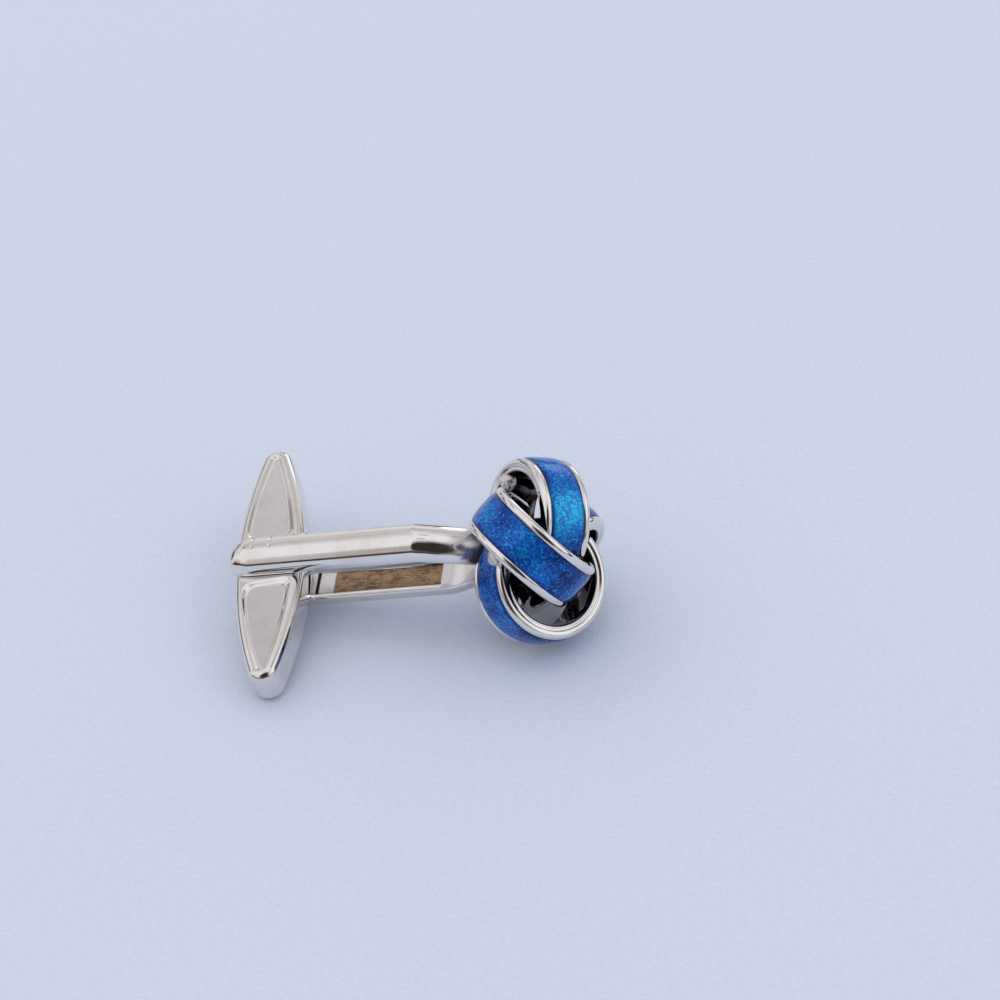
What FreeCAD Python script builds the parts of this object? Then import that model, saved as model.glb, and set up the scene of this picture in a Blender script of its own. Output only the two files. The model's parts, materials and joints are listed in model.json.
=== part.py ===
"""Swivel-back cufflink with a love-knot head, as a parametric FreeCAD document.

Every piece is drawn about the pivot pin: X runs along the stem to the knot, Y along the toggle bar and Z
along the pin. The whole assembly is then laid down as it rests on a table, on the knot, the stem's end and
one tip of the toggle bar, with the origin under the middle of its box. Lengths are in millimetres, angles in
degrees.
"""

import FreeCAD, Part
import enum
import math
import os
import re
import Sketcher
from FreeCAD import Placement, Rotation, Vector

SIZES = (
    ("knot_distance", 18.5, "pivot pin to the middle of the knot"),
    ("knot_angle", 34.5, "first band's turn about the stem, from straight up"),
    ("band_tilt_angle", 43.8, "angle between a band's own axis and the stem"),
    ("band_offset", 1.85, "stem axis to the middle of a band's loop"),
    ("band_radius", 4.05, "loop's outer radius"),
    ("band_end_level", 0.8, "loop's ends below the stem axis"),
    ("band_width", 3.35, "band's width over both edge beads"),
    ("band_wall", 0.9, "band's wall under the beads"),
    ("bead_width", 0.56, "plain metal bead along each edge of a band"),
    ("bead_round", 0.2, "rounding of a band's edges"),
    ("enamel_depth", 0.32, "channel that holds the enamel"),
    ("enamel_sink", 0.05, "enamel's surface below the beads"),
    ("core_land", 0.4, "core's radius beyond half a band's width, and beyond the arms"),
    ("core_front_land", 1.15, "core's front face beyond half a band's width, from the middle of the knot"),
    ("core_back", 2.9, "core's back face from the middle of the knot"),
    ("opening_back_land", 2.55, "back of the way through the bands beyond half a band's width, likewise"),
    ("solder_radius", 0.9, "bead of solder at a crossing"),
    ("solder_fit", 0.06, "solder's clearance from the bands"),
    ("solder_lower_angle", -105.0, "bead's place round the band that passes under"),
    ("solder_upper_angle", -15.0, "bead's place round the band that passes over"),
    ("arm_width", 2.85, "width of a stem arm"),
    ("arm_height", 1.5, "height of a stem arm at its crown"),
    ("arm_side_height", 0.3, "upright part of an arm's side"),
    ("arm_gap", 2.7, "slot between the two arms"),
    ("arm_overhang", 1.55, "arm's end beyond the pivot pin"),
    ("upper_neck_length", 4.8, "upper arm's run from its bend to the core"),
    ("lower_neck_length", 3.2, "lower arm's run from its bend to the core"),
    ("neck_narrowing", 0.1, "arm's loss of width at the knot, on each side"),
    ("neck_thinning", 0.1, "arm's loss of height at the knot"),
    ("neck_gap", 0.5, "space left between the arms at the knot"),
    ("end_bevel", 0.3, "bevel on an arm's free end"),
    ("pin_radius", 0.6, "pivot pin"),
    ("pin_seat", 0.75, "depth of the pin's blind hole in each arm"),
    ("pin_fit", 0.01, "pin's radial and end clearance in the arms"),
    ("pin_play", 0.04, "pin's radial clearance in the toggle bar"),
    ("toggle_length", 20.0, "toggle bar over its tips"),
    ("toggle_width", 4.7, "toggle bar at its middle"),
    ("tip_radius", 1.0, "round tip of the toggle bar"),
    ("toggle_offset", 0.6, "toggle bar's middle line from the pivot pin"),
    ("toggle_play", 0.05, "clearance between the toggle bar and each arm"),
    ("toggle_round", 0.45, "rounding of the toggle bar's outer edges"),
    ("rim_width", 0.55, "rim around each dished panel"),
    ("dish_depth", 0.4, "depth of a dished panel"),
    ("dish_angle", 45.0, "slope of a dished panel's sides"),
    ("hub_half_length", 1.75, "dished panel's start from the middle of the bar"),
    ("recess_start", 2.0, "spring's recess from the pivot pin"),
    ("recess_land", 0.7, "plain metal between the spring's recess and the bend"),
    ("recess_width", 2.0, "width of the spring's recess"),
    ("recess_depth", 0.45, "depth of the spring's recess"),
    ("spring_thickness", 0.18, "leaf of the detent spring"),
    ("spring_foot", 1.6, "flat foot of the leaf, soldered down"),
    ("spring_play", 0.06, "leaf's clearance in the recess and under the toggle bar"),
    ("rest_swivel_angle", 6.2, "toggle bar's turn from square across the stem"),
    ("rest_pitch_angle", 8.12, "stem's rise from the table towards the knot"),
    ("rest_roll_angle", 11.72, "toggle bar's lean towards its lower tip"),
)
BAND_COUNT = 4
QUARTER_TURN = 90.0
TOUCH = 1e-6
Spot = enum.IntEnum("Spot", "START END CENTRE")
Axis = enum.IntEnum("Axis", {"ACROSS": -1, "UP": -2})
SKETCH_ORIGIN = (Axis.ACROSS, Spot.START)

doc = FreeCAD.newDocument("cufflink")
sheet = doc.addObject("Spreadsheet::Sheet", "sizes")
for row, (name, size, note) in enumerate(SIZES, start=1):
    sheet.set(f"A{row}", note)
    sheet.set(f"B{row}", str(size))
    sheet.setAlias(f"B{row}", name)
doc.recompute()
SIZE_NAMES = {name for name, size, note in SIZES}


# Sizes by name


def formula(text):
    """Return text with every size name pointed at its cell of the sheet."""
    return re.sub(r"[a-z_]+", lambda m: f"sizes.{m[0]}" if m[0] in SIZE_NAMES else m[0], text)


def number(text):
    """Return what a formula of size names comes to."""
    return float(sheet.evalExpression(formula(text)))


def bind(thing, settings):
    """Bind properties of a document object to formulas of size names."""
    for path, text in settings.items():
        thing.setExpression(path, formula(text))


# Sketches and features


def new_body(label):
    body = doc.addObject("PartDesign::Body", label)
    body.Label = label
    return body


def origin_plane(body, role):
    return next(feature for feature in body.Origin.OriginFeatures if feature.Role == role)


def new_sketch(body, name, role, offset=None, turn=None):
    """Attach a sketch to one of the body's own planes, moved and turned about its Y axis by formulas."""
    sketch = body.newObject("Sketcher::SketchObject", name)
    sketch.AttachmentSupport = [(origin_plane(body, role), "")]
    sketch.MapMode = "FlatFace"
    if turn:
        sketch.AttachmentOffset = Placement(Vector(), Rotation(Vector(0, 1, 0), number(turn)))
        bind(sketch, {"AttachmentOffset.Rotation.Angle": turn})
    for axis, text in (offset or {}).items():
        bind(sketch, {f"AttachmentOffset.Base.{axis}": text})
    return sketch


def dimension(sketch, kind, *target, size):
    """Add a constraint whose value follows a formula."""
    index = sketch.addConstraint(Sketcher.Constraint(kind, *target, number(size)))
    bind(sketch, {f"Constraints[{index}]": size})


def fix_point(sketch, geometry, point, across, up):
    """Hold a point at signed distances from the sketch's origin."""
    for kind, size in (("DistanceX", across), ("DistanceY", up)):
        if number(size) < 0:
            dimension(sketch, kind, geometry, point, *SKETCH_ORIGIN, size=f"-({size})")
        else:
            dimension(sketch, kind, *SKETCH_ORIGIN, geometry, point, size=size)


def join(sketch, pairs, kind="Coincident"):
    for first, first_point, second, second_point in pairs:
        sketch.addConstraint(Sketcher.Constraint(kind, first, first_point, second, second_point))


def add_circle(sketch, radius):
    circle = sketch.addGeometry(Part.Circle(Vector(), Vector(0, 0, 1), number(radius)), False)
    join(sketch, [(circle, Spot.CENTRE, *SKETCH_ORIGIN)])
    dimension(sketch, "Radius", circle, size=radius)


def add_polygon(sketch, corners):
    """Draw a closed outline of straight lines through corners given as pairs of formulas."""
    points = [Vector(number(across), number(up), 0) for across, up in corners]
    first = sketch.GeometryCount
    for start, end in zip(points, points[1:] + points[:1]):
        sketch.addGeometry(Part.LineSegment(start, end), False)
    count = len(corners)
    join(sketch, [(first + i, Spot.END, first + (i + 1) % count, Spot.START) for i in range(count)])
    for i, (across, up) in enumerate(corners):
        fix_point(sketch, first + i, Spot.START, across, up)


def new_feature(body, kind, name, bindings=None, **settings):
    feature = body.newObject(f"PartDesign::{kind}", name)
    for key, setting in settings.items():
        setattr(feature, key, setting)
    bind(feature, bindings or {})
    return feature


def cut_feature(body, kind, name, bindings=None, **settings):
    """Add a feature that takes material away, and check that it did."""
    doc.recompute()
    before = body.Shape.Volume
    feature = new_feature(body, kind, name, bindings, **settings)
    body.Tip = feature
    doc.recompute()
    if not body.Shape.Volume < before:
        raise RuntimeError(f"{body.Label}: {name} cuts nothing")
    return feature


def round_edges(body, feature, name, radius, chosen):
    """Fillet the edges of a feature that the function chosen picks out."""
    doc.recompute()
    edges = [f"Edge{i}" for i, edge in enumerate(feature.Shape.Edges, start=1) if chosen(edge)]
    return new_feature(body, "Fillet", name, {"Radius": radius}, Base=(feature, edges))


# The knot

LOOP_OFFSET = {"y": "band_offset"}
CORE_RADIUS = "(max(band_width / 2; arm_height - neck_thinning + neck_gap / 2) + core_land)"
CORE_FRONT = "(band_width / 2 + core_front_land)"
OPENING_BACK = "(band_width / 2 + opening_back_land)"


def loop_sketch(body, name, outer_inset, inner_inset):
    """Draw the ring between two inset copies of the loop's outer circle, square to the band's own axis."""
    sketch = new_sketch(body, name, "YZ_Plane", LOOP_OFFSET, turn="band_tilt_angle")
    for inset in (outer_inset, inner_inset):
        add_circle(sketch, f"band_radius - ({inset})")
    return sketch


def cut_for_core(body):
    """Open the loop where the core and the arms pass, and end it on the core, just below the stem axis."""
    ends = new_sketch(body, "loop_ends", "XY_Plane", {"z": "-band_end_level"})
    span = "(band_radius + band_width)"
    add_polygon(ends, [(f"-{span}", f"-{span}"), (span, f"-{span}"), (span, span), (f"-{span}", span)])
    cut_feature(body, "Pocket", "loop_end_cut", {"Length": "2 * band_radius"}, Profile=ends)
    sketch = new_sketch(body, "core_section", "YZ_Plane", {"z": CORE_FRONT})
    add_circle(sketch, CORE_RADIUS)
    cut_feature(body, "Pocket", "core_opening", {"Length": f"{CORE_FRONT} + {OPENING_BACK}"}, Profile=sketch)


def make_band(label):
    """One loop of flat band with a bead along each edge and a channel for enamel between the beads."""
    body = new_body(label)
    loop = loop_sketch(body, "loop", "0", "band_wall")
    band = new_feature(body, "Pad", "band", {"Length": "band_width"}, Profile=loop, SideType="Symmetric")
    round_edges(body, band, "bead_rounds", "bead_round", lambda edge: edge.isClosed())
    channel = loop_sketch(body, "channel", "-bead_width", "enamel_depth")
    cut_feature(body, "Pocket", "enamel_channel", {"Length": "band_width - 2 * bead_width"},
                Profile=channel, SideType="Symmetric")
    cut_for_core(body)
    return body


def make_enamel(label):
    """The enamel that fills a band's channel, a little below its beads."""
    body = new_body(label)
    fill = loop_sketch(body, "fill", "enamel_sink", "enamel_depth")
    new_feature(body, "Pad", "enamel", {"Length": "band_width - 2 * bead_width"},
                Profile=fill, SideType="Symmetric")
    cut_for_core(body)
    return body


def make_core():
    body = new_body("knot_core")
    sketch = new_sketch(body, "core_section", "YZ_Plane", {"z": "-core_back"})
    add_circle(sketch, CORE_RADIUS)
    new_feature(body, "Pad", "core", {"Length": f"{CORE_FRONT} + core_back"}, Profile=sketch)
    return body


# The stem

NECK_END = "(knot_distance - core_back)"
RECESS_END = f"({NECK_END} - lower_neck_length - recess_land)"


def arm_section(body, name, along, inner, width, height, side):
    """Draw an arm's section at a place along the stem: flat inside, upright sides and a round crown."""
    sketch = new_sketch(body, name, "YZ_Plane", {"z": along})
    half = number(width) / 2
    low = number(inner)
    shoulder = low + number(side)
    crown_radius = f"(({width}) ^ 2 / 4 + ({height} - {side}) ^ 2) / (2 * ({height} - {side}))"
    top = low + number(height)
    crown = Part.Arc(Vector(half, shoulder, 0), Vector(0, top, 0), Vector(-half, shoulder, 0))
    flat, right, arc, left = sketch.addGeometry([
        Part.LineSegment(Vector(-half, low, 0), Vector(half, low, 0)),
        Part.LineSegment(Vector(half, low, 0), Vector(half, shoulder, 0)),
        crown,
        Part.LineSegment(Vector(-half, shoulder, 0), Vector(-half, low, 0)),
    ], False)
    join(sketch, [(flat, Spot.END, right, Spot.START), (right, Spot.END, arc, Spot.START),
                  (arc, Spot.END, left, Spot.START), (left, Spot.END, flat, Spot.START)])
    sketch.addConstraint(Sketcher.Constraint("Symmetric", flat, Spot.START, flat, Spot.END, Axis.UP))
    for upright in (right, left):
        sketch.addConstraint(Sketcher.Constraint("Vertical", upright))
    sketch.addConstraint(Sketcher.Constraint("Equal", right, left))
    dimension(sketch, "DistanceX", flat, Spot.START, flat, Spot.END, size=width)
    dimension(sketch, "DistanceY", *SKETCH_ORIGIN, flat, Spot.START, size=inner)
    dimension(sketch, "DistanceY", right, Spot.START, right, Spot.END, size=side)
    dimension(sketch, "Radius", arc, size=crown_radius)
    return sketch


def make_arm(label, neck_length):
    """One arm of the fork: straight over the slot, then bent in to the core, with a blind pin hole."""
    body = new_body(label)
    bend = f"({NECK_END} - {neck_length})"
    straight = ("arm_gap / 2", "arm_width", "arm_height", "arm_side_height")
    end_section = arm_section(body, "end_section", "-arm_overhang", *straight)
    new_feature(body, "Pad", "bar", {"Length": f"arm_overhang + {bend}"}, Profile=end_section)
    bend_section = arm_section(body, "bend_section", bend, *straight)
    neck_section = arm_section(body, "neck_section", NECK_END,
                               "neck_gap / 2", "(arm_width - 2 * neck_narrowing)",
                               "(arm_height - neck_thinning)", "arm_side_height")
    doc.recompute()
    new_feature(body, "AdditiveLoft", "neck", Profile=bend_section, Sections=[neck_section], Ruled=True)
    crown = "arm_gap / 2 + arm_height"
    corner = new_sketch(body, "free_end_corner", "XZ_Plane")
    add_polygon(corner, [("-arm_overhang - end_bevel", f"{crown} - 2 * end_bevel"),
                         ("-arm_overhang + 2 * end_bevel", f"{crown} + end_bevel"),
                         ("-arm_overhang - end_bevel", f"{crown} + end_bevel")])
    cut_feature(body, "Pocket", "free_end_bevel", Profile=corner, Type="ThroughAll", SideType="Symmetric")
    seat = new_sketch(body, "pin_section", "XY_Plane", {"z": "arm_gap / 2"})
    add_circle(seat, "pin_radius + pin_fit")
    cut_feature(body, "Pocket", "pin_hole", {"Length": "pin_seat"}, Profile=seat, Reversed=True)
    return body


def cut_spring_recess(body):
    """Sink the spring's long recess into an arm's inner face."""
    recess = new_sketch(body, "recess", "XY_Plane", {"z": "arm_gap / 2"})
    add_polygon(recess, [("recess_start", "-recess_width / 2"),
                         (RECESS_END, "-recess_width / 2"),
                         (RECESS_END, "recess_width / 2"),
                         ("recess_start", "recess_width / 2")])
    cut_feature(body, "Pocket", "spring_recess", {"Length": "recess_depth"}, Profile=recess, Reversed=True)


def make_spring():
    """Leaf spring: a flat foot on the recess floor, then a straight rise to just under the toggle bar."""
    body = new_body("detent_spring")
    side = new_sketch(body, "leaf_side", "XZ_Plane")
    tip = "recess_start + spring_play"
    heel = f"{RECESS_END} - spring_play"
    foot = f"{heel} - spring_foot"
    floor = "arm_gap / 2 + recess_depth"
    tip_top = "arm_gap / 2 + spring_play"
    add_polygon(side, [(heel, floor), (foot, floor), (tip, f"{tip_top} + spring_thickness"),
                       (tip, tip_top), (foot, f"{floor} - spring_thickness"),
                       (heel, f"{floor} - spring_thickness")])
    new_feature(body, "Pad", "leaf", {"Length": "recess_width - 2 * spring_play"},
                Profile=side, SideType="Symmetric")
    return body


def make_pin():
    pin = doc.addObject("Part::Cylinder", "pivot_pin")
    pin.Label = "pivot_pin"
    bind(pin, {"Radius": "pin_radius", "Height": "arm_gap + 2 * (pin_seat - pin_fit)"})
    return pin


# The toggle bar

HALF_WIDTH = "(toggle_width / 2)"
TIP_CENTRE = "(toggle_length / 2 - tip_radius)"
SIDE_RADIUS = (f"(({HALF_WIDTH} ^ 2 + {TIP_CENTRE} ^ 2 - tip_radius ^ 2)"
               f" / (2 * ({HALF_WIDTH} - tip_radius)))")


def circle_arc(centre, radius, start, end):
    """Return a sketch arc, anticlockwise from the angle of one point to that of another."""
    circle = Part.Circle(centre, Vector(0, 0, 1), radius)
    return Part.ArcOfCircle(circle, circle.parameter(start), circle.parameter(end))


def tangent_point(inset, side, end):
    """Return where a side of the leaf runs into its round tip; side and end are -1 or 1."""
    side_centre = Vector(side * (number(HALF_WIDTH) - number(SIDE_RADIUS)), 0, 0)
    tip_centre = Vector(0, end * number(TIP_CENTRE), 0)
    return side_centre + (tip_centre - side_centre).normalize() * (number(SIDE_RADIUS) - inset)


def leaf_outline(sketch):
    """Draw the bar's outline: two long arcs that run into round tips."""
    right_bottom, right_top = tangent_point(0, 1, -1), tangent_point(0, 1, 1)
    left_bottom, left_top = tangent_point(0, -1, -1), tangent_point(0, -1, 1)
    side_radius = number(SIDE_RADIUS)
    side_centre = Vector(number(HALF_WIDTH) - side_radius, 0, 0)
    tip_centre = Vector(0, number(TIP_CENTRE), 0)
    tip_radius = number("tip_radius")
    right, top, left, bottom = sketch.addGeometry([
        circle_arc(side_centre, side_radius, right_bottom, right_top),
        circle_arc(tip_centre, tip_radius, right_top, left_top),
        circle_arc(-side_centre, side_radius, left_top, left_bottom),
        circle_arc(-tip_centre, tip_radius, left_bottom, right_bottom),
    ], False)
    join(sketch, [(right, Spot.END, top, Spot.START), (top, Spot.END, left, Spot.START),
                  (left, Spot.END, bottom, Spot.START), (bottom, Spot.END, right, Spot.START)], "Tangent")
    for side in (right, left):
        dimension(sketch, "Radius", side, size=SIDE_RADIUS)
    for tip in (top, bottom):
        dimension(sketch, "Radius", tip, size="tip_radius")
        sketch.addConstraint(Sketcher.Constraint("PointOnObject", tip, Spot.CENTRE, Axis.UP))
    dimension(sketch, "DistanceY", *SKETCH_ORIGIN, top, Spot.CENTRE, size=TIP_CENTRE)
    dimension(sketch, "DistanceY", bottom, Spot.CENTRE, *SKETCH_ORIGIN, size=TIP_CENTRE)


def dish_outline(sketch, end):
    """Draw one wing's panel: the leaf's outline inset by the rim, closed by a straight edge at the hub."""
    inset = number("rim_width")
    side_radius = number(SIDE_RADIUS) - inset
    side_centre = Vector(number(HALF_WIDTH) - number(SIDE_RADIUS), 0, 0)
    hub = end * number("hub_half_length")
    hub_half = side_centre.x + (side_radius ** 2 - hub ** 2) ** 0.5
    right_tip, left_tip = tangent_point(inset, 1, end), tangent_point(inset, -1, end)
    right_hub, left_hub = Vector(hub_half, hub, 0), Vector(-hub_half, hub, 0)
    tip_centre = Vector(0, end * number(TIP_CENTRE), 0)
    tip_radius = number("tip_radius") - inset
    if end > 0:
        arcs = [circle_arc(side_centre, side_radius, right_hub, right_tip),
                circle_arc(tip_centre, tip_radius, right_tip, left_tip),
                circle_arc(-side_centre, side_radius, left_tip, left_hub)]
        closing = Part.LineSegment(left_hub, right_hub)
    else:
        arcs = [circle_arc(-side_centre, side_radius, left_hub, left_tip),
                circle_arc(tip_centre, tip_radius, left_tip, right_tip),
                circle_arc(side_centre, side_radius, right_tip, right_hub)]
        closing = Part.LineSegment(right_hub, left_hub)
    first, tip, last, edge = sketch.addGeometry(arcs + [closing], False)
    join(sketch, [(first, Spot.END, tip, Spot.START), (tip, Spot.END, last, Spot.START)], "Tangent")
    join(sketch, [(last, Spot.END, edge, Spot.START), (edge, Spot.END, first, Spot.START)])
    sketch.addConstraint(Sketcher.Constraint("Horizontal", edge))
    sketch.addConstraint(Sketcher.Constraint("PointOnObject", tip, Spot.CENTRE, Axis.UP))
    for side in (first, last):
        dimension(sketch, "Radius", side, size=f"{SIDE_RADIUS} - rim_width")
        sketch.addConstraint(Sketcher.Constraint("PointOnObject", side, Spot.CENTRE, Axis.ACROSS))
    dimension(sketch, "Radius", tip, size="tip_radius - rim_width")
    for geometry, point, size in ((tip, Spot.CENTRE, TIP_CENTRE), (edge, Spot.START, "hub_half_length")):
        low_to_high = (*SKETCH_ORIGIN, geometry, point)
        high_to_low = (geometry, point, *SKETCH_ORIGIN)
        dimension(sketch, "DistanceY", *(low_to_high if end > 0 else high_to_low), size=size)


def make_toggle():
    """Leaf-shaped bar with a dished panel on both faces of each wing and a hole for the pin."""
    body = new_body("toggle_bar")
    thickness = "arm_gap - 2 * toggle_play"
    outline = new_sketch(body, "outline", "XY_Plane", {"x": "toggle_offset"})
    leaf_outline(outline)
    leaf = new_feature(body, "Pad", "leaf", {"Length": thickness}, Profile=outline, SideType="Symmetric")
    half_thick = number(thickness) / 2
    round_edges(body, leaf, "outer_rounds", "toggle_round",
                lambda edge: abs(abs(edge.CenterOfMass.z) - half_thick) < TOUCH)
    panels = new_sketch(body, "panels", "XY_Plane", {"x": "toggle_offset", "z": f"({thickness}) / 2"})
    for end in (-1, 1):
        dish_outline(panels, end)
    dishes = cut_feature(body, "Pocket", "dishes", {"Length": "dish_depth", "TaperAngle": "-dish_angle"},
                         Profile=panels)
    cut_feature(body, "Mirrored", "dishes_below", Originals=[dishes],
                MirrorPlane=(origin_plane(body, "XY_Plane"), [""]))
    hole = new_sketch(body, "pin_section", "XY_Plane")
    add_circle(hole, "pin_radius + pin_play")
    cut_feature(body, "Pocket", "pivot_hole", Profile=hole, Type="ThroughAll", SideType="Symmetric")
    return body


# Solder at the crossings


def band_point(lap, across, depth):
    """Return a point of the first band in the knot's own frame.

    lap is the angle round the loop from its top, across the distance from the band's middle line towards its
    front edge and depth the distance under its outer face.
    """
    angle = math.radians(number(lap))
    radius = number("band_radius") - depth
    along = -math.sin(angle) * radius
    up = math.cos(angle) * radius
    spot = Vector(across, along, up)
    tilt = Rotation(Vector(0, 0, 1), number("band_tilt_angle"))
    return tilt.multVec(spot) + Vector(0, 0, number("band_offset"))


def clearance_ring(turn):
    """A band's plain loop, larger all round by the solder's clearance and turned about the stem."""
    fit = number("solder_fit")
    across = Rotation(Vector(0, 0, 1), number("band_tilt_angle")).multVec(Vector(1, 0, 0))
    width = number("band_width") + 2 * fit
    start = Vector(0, 0, number("band_offset")) - across * (width / 2)
    outer = Part.makeCylinder(number("band_radius") + fit, width, start, across)
    inner = Part.makeCylinder(number("band_radius - band_wall") - fit, width, start, across)
    ring = outer.cut(inner)
    ring.rotate(Vector(), Vector(1, 0, 0), turn)
    return ring


def make_solder():
    """Beads of solder where a band's back end passes under the next band, shaped to both loops."""
    edge = number("band_width") / 2
    lower = band_point("solder_lower_angle", edge, 0)
    upper = band_point("solder_upper_angle", -edge, number("band_wall"))
    upper = Rotation(Vector(1, 0, 0), -QUARTER_TURN).multVec(upper)
    bead = Part.makeSphere(number("solder_radius"), (lower + upper) / 2)
    for i in range(BAND_COUNT):
        bead = bead.cut(clearance_ring(-QUARTER_TURN * i))
    bead = max(bead.Solids, key=lambda solid: solid.Volume)
    beads = []
    for i in range(BAND_COUNT):
        turned = bead.copy()
        turned.rotate(Vector(), Vector(1, 0, 0), -QUARTER_TURN * i)
        beads.append(turned)
    solder = doc.addObject("Part::Feature", "solder_beads")
    solder.Label = "solder_beads"
    solder.Shape = Part.makeCompound(beads)
    return solder


# The assembly

along_stem = Placement(Vector(number("knot_distance"), 0, 0), Rotation(Vector(1, 0, 0), number("knot_angle")))
half_turn = Placement(Vector(), Rotation(Vector(1, 0, 0), 2 * QUARTER_TURN))
pin_start = Placement(Vector(0, 0, -number("arm_gap / 2 + pin_seat - pin_fit")), Rotation())

places = []
for i in range(BAND_COUNT):
    lap_turn = Placement(Vector(), Rotation(Vector(1, 0, 0), -QUARTER_TURN * i))
    places.append((make_band(f"knot_band_{i + 1}"), along_stem * lap_turn))
    places.append((make_enamel(f"enamel_inlay_{i + 1}"), along_stem * lap_turn))
places.append((make_core(), along_stem))
places.append((make_solder(), along_stem))
places.append((make_arm("upper_arm", "upper_neck_length"), Placement()))
lower_arm = make_arm("lower_arm", "lower_neck_length")
cut_spring_recess(lower_arm)
places.append((lower_arm, half_turn))
places.append((make_spring(), half_turn))
places.append((make_pin(), pin_start))
swivel = Placement(Vector(), Rotation(Vector(0, 0, 1), number("rest_swivel_angle")))
places.append((make_toggle(), swivel))
doc.recompute()

# The resting pose: rolled about the stem, pitched up at the knot, then set down on the table

roll = Rotation(Vector(1, 0, 0), number("rest_roll_angle"))
pitch = Rotation(Vector(0, 1, 0), -number("rest_pitch_angle"))
lean = Placement(Vector(), pitch * roll)
box = FreeCAD.BoundBox()
for piece, place in places:
    posed = piece.Shape.copy()
    posed.Placement = lean * place
    box.add(posed.optimalBoundingBox(False, False))
set_down = Placement(Vector(-box.Center.x, -box.Center.y, -box.ZMin), Rotation())
for piece, place in places:
    piece.Placement = set_down * lean * place
doc.recompute()

for thing in doc.Objects:
    if {"Invalid", "Error"} & set(thing.State):
        raise RuntimeError(f"{thing.Label} failed: {thing.State}")
os.makedirs("parts", exist_ok=True)
for piece, place in places:
    if piece.Shape.isNull() or not piece.Shape.isValid():
        raise RuntimeError(f"{piece.Label} has no valid shape")
for piece, place in places:
    piece.Shape.exportStep(f"parts/{piece.Label}.step")
    print(piece.Label, len(piece.Shape.Solids), "solid(s)", round(piece.Shape.Volume, 3), "mm3")
pivot = set_down * lean
axis = pivot.Rotation.multVec(Vector(0, 0, 1))
print("pivot", [round(c, 4) for c in pivot.Base], "axis", [round(c, 6) for c in axis])
print("box", round(box.XLength, 2), round(box.YLength, 2), round(box.ZLength, 2))
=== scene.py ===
"""Looks of a swivel-back cufflink with an enamelled love-knot head, laid out as a Blender add-on."""

import json
import math

import bpy
import numpy as np
from bpy.props import FloatProperty, FloatVectorProperty, IntProperty, PointerProperty
from mathutils import Matrix, Vector


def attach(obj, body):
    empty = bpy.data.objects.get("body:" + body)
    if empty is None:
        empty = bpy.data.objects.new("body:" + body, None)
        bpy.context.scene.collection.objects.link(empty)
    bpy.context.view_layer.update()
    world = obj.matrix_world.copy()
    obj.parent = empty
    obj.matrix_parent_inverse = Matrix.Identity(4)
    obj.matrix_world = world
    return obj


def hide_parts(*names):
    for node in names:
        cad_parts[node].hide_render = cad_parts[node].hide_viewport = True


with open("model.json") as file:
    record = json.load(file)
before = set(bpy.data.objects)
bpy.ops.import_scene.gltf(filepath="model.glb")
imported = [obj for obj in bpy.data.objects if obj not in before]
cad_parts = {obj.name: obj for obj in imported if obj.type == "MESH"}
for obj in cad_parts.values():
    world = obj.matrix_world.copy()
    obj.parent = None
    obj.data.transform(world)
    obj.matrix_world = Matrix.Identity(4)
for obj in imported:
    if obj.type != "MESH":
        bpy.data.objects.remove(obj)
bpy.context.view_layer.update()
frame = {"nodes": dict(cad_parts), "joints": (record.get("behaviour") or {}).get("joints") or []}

bl_info = {
    "name": "Love-knot cufflink",
    "version": (1, 0, 0),
    "blender": (4, 5, 0),
    "location": "View3D > Sidebar > Cufflink",
    "description": "Builds the enamelled knot, the forked stem and the toggle bar around the packed solids",
    "category": "Object",
}

MM = 0.001
BAND_COUNT = 4
QUARTER_TURN = math.pi / 2
SWIVEL = frame["joints"][0]


def stem_axes():
    """Axes of the stem's own frame, as rows: along the stem to the knot, along the toggle bar and the pin."""
    pin = np.array(SWIVEL["axis"], float)
    pin /= np.linalg.norm(pin)
    along = np.array([pin[2], 0.0, -pin[0]])
    along /= np.linalg.norm(along)
    return np.stack([along, np.cross(pin, along), pin])


STEM_AXES = stem_axes()
PIVOT = np.array(SWIVEL["pos_m"], float)


# Sizes and colours that a user would change


def length(name, description, millimetres):
    """A length property, given in millimetres and kept in metres."""
    return FloatProperty(name=name, description=description, default=millimetres * MM, unit="LENGTH",
                         precision=5)


def angle(name, description, degrees):
    """An angle property, given in degrees and kept in radians."""
    return FloatProperty(name=name, description=description, default=math.radians(degrees), subtype="ANGLE")


def colour(name, description, default):
    """A colour property."""
    return FloatVectorProperty(name=name, description=description, default=default, size=3, min=0.0, max=1.0,
                               subtype="COLOR")


def count(name, description, default):
    """A property that counts steps of a shape."""
    return IntProperty(name=name, description=description, default=default, min=4)


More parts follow.
